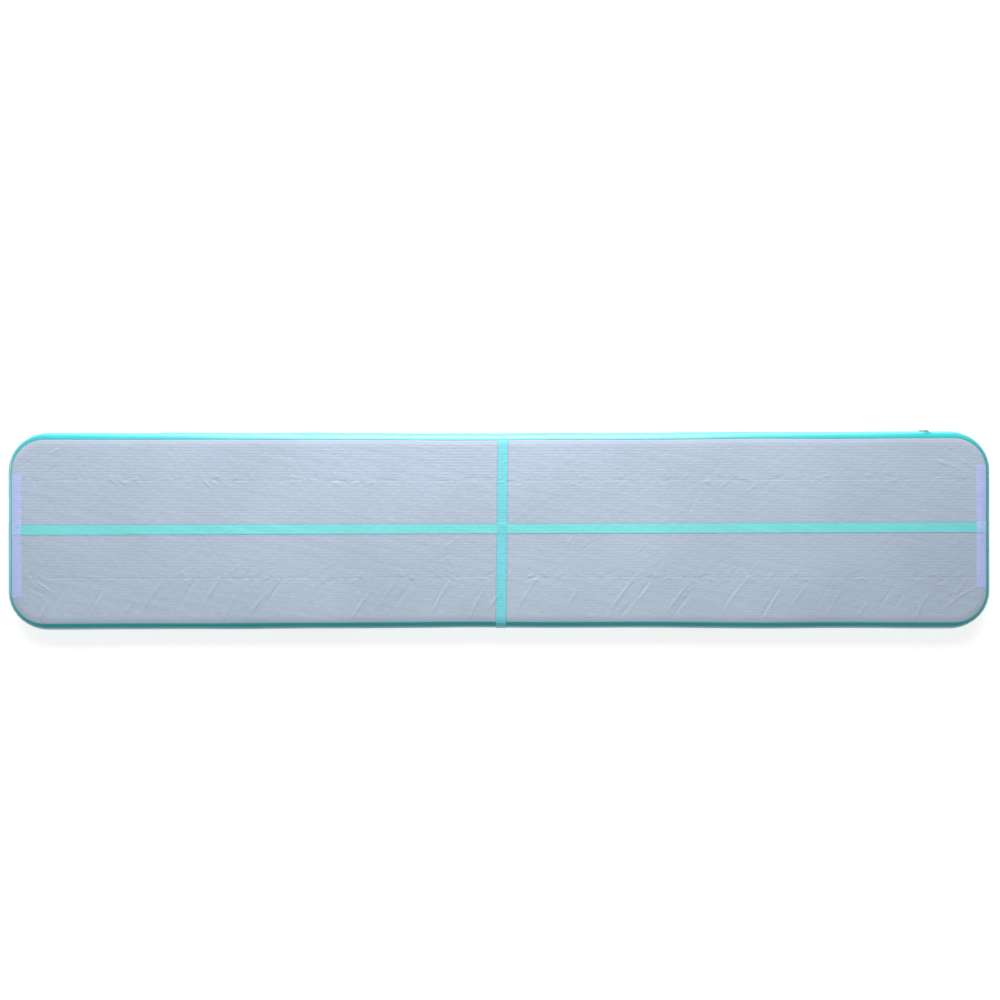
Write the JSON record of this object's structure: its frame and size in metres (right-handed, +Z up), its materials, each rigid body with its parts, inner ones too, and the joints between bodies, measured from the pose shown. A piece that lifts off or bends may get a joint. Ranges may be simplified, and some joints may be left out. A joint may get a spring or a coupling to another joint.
{
  "type": "air track mat",
  "caption": "Long inflatable drop-stitch tumbling mat: ribbed top, bulged side wall, stripes, hook tapes across the ends, sprung inflation valve with tethered cap, and webbing handles.",
  "frame": {"origin": "under the mat's middle, on the floor", "axes": "+X along the mat, +Y across it towards the side with the valve, +Z up"},
  "size_m": [5.0022, 1.02, 0.1019],
  "materials": {
    "skin_top": "satin",
    "skin_bottom": "satin",
    "wall": "satin",
    "wall_inner": "matte",
    "stripe": "satin",
    "hook_tape": "satin",
    "yarn": "matte",
    "webbing": "matte",
    "valve_plastic": "satin",
    "button_plastic": "satin",
    "seal_rubber": "matte",
    "tether_rubber": "matte",
    "steel": "satin"
  },
  "bodies": {
    "mat": {"top_sheet": "skin_top", "bottom_sheet": "skin_bottom", "side_wall_front": "wall", "side_wall_back": "wall", "top_seam_tape": "wall", "bottom_seam_tape": "wall", "wall_joint_patch_left": "wall", "wall_joint_patch_right": "wall", "handle_front_left_patch_inner": "wall", "handle_front_left_patch_outer": "wall", "handle_front_right_patch_inner": "wall", "handle_front_right_patch_outer": "wall", "handle_back_left_patch_inner": "wall", "handle_back_left_patch_outer": "wall", "handle_back_right_patch_inner": "wall", "handle_back_right_patch_outer": "wall", "inner_side_wall": "wall_inner", "centre_stripe": "stripe", "cross_stripe": "stripe", "hook_tape_left": "hook_tape", "hook_tape_right": "hook_tape", "drop_stitch_row_01": "yarn", "drop_stitch_row_02": "yarn", "drop_stitch_row_03": "yarn", "drop_stitch_row_04": "yarn", "drop_stitch_row_05": "yarn", "drop_stitch_row_06": "yarn", "drop_stitch_row_07": "yarn", "drop_stitch_row_08": "yarn", "drop_stitch_row_09": "yarn", "drop_stitch_row_10": "yarn", "drop_stitch_row_11": "yarn", "drop_stitch_row_12": "yarn", "drop_stitch_row_13": "yarn", "drop_stitch_row_14": "yarn", "drop_stitch_row_15": "yarn", "drop_stitch_row_16": "yarn", "drop_stitch_row_17": "yarn", "drop_stitch_row_18": "yarn", "drop_stitch_row_19": "yarn", "valve_body": "valve_plastic", "valve_nut": "valve_plastic", "valve_gasket": "seal_rubber", "valve_spring": "steel"},
    "tether": {"tether_ring": "tether_rubber", "tether_strap": "tether_rubber"},
    "cap_carrier": {"cap_swivel_ring": "tether_rubber"},
    "cap": {"valve_cap": "valve_plastic", "valve_cap_seal": "seal_rubber"},
    "plunger": {"valve_spring_washer": "steel"},
    "stem": {"valve_stem": "valve_plastic", "valve_seal": "seal_rubber", "valve_button": "button_plastic"},
    "handle_front_left": {"handle_front_left_strap": "webbing"},
    "handle_front_right": {"handle_front_right_strap": "webbing"},
    "handle_back_left": {"handle_back_left_strap": "webbing"},
    "handle_back_right": {"handle_back_right_strap": "webbing"}
  },
  "joints": [
    {"name": "valve_push", "type": "slide", "parent": "mat", "child": "plunger", "axis": [0, -1, 0], "range_m": [0, 0.006], "stiffness_N_per_m": 500, "springref_m": -0.004, "deforming": ["valve_spring"]},
    {"name": "valve_twist_lock", "type": "hinge", "parent": "plunger", "child": "stem", "pos_m": [2.17, 0.5, 0.05], "axis": [0, -1, 0], "range_deg": [0, 90]},
    {"name": "tether_turn", "type": "hinge", "parent": "mat", "child": "tether", "pos_m": [2.17, 0.5, 0.05], "axis": [0, 1, 0], "continuous": true},
    {"name": "cap_lift", "type": "slide", "parent": "tether", "child": "cap_carrier", "axis": [0, 1, 0], "range_m": [0, 0.03], "deforming": ["tether_strap"]},
    {"name": "cap_turn", "type": "hinge", "parent": "cap_carrier", "child": "cap", "pos_m": [2.17, 0.5, 0.05], "axis": [0, 1, 0], "range_deg": [0, 90]},
    {"name": "handle_front_left_pull", "type": "slide", "parent": "mat", "child": "handle_front_left", "axis": [0, -1, 0], "range_m": [0, 0.025], "stiffness_N_per_m": 40},
    {"name": "handle_front_right_pull", "type": "slide", "parent": "mat", "child": "handle_front_right", "axis": [0, -1, 0], "range_m": [0, 0.025], "stiffness_N_per_m": 40},
    {"name": "handle_back_left_pull", "type": "slide", "parent": "mat", "child": "handle_back_left", "axis": [0, 1, 0], "range_m": [0, 0.025], "stiffness_N_per_m": 40},
    {"name": "handle_back_right_pull", "type": "slide", "parent": "mat", "child": "handle_back_right", "axis": [0, 1, 0], "range_m": [0, 0.025], "stiffness_N_per_m": 40}
  ]
}
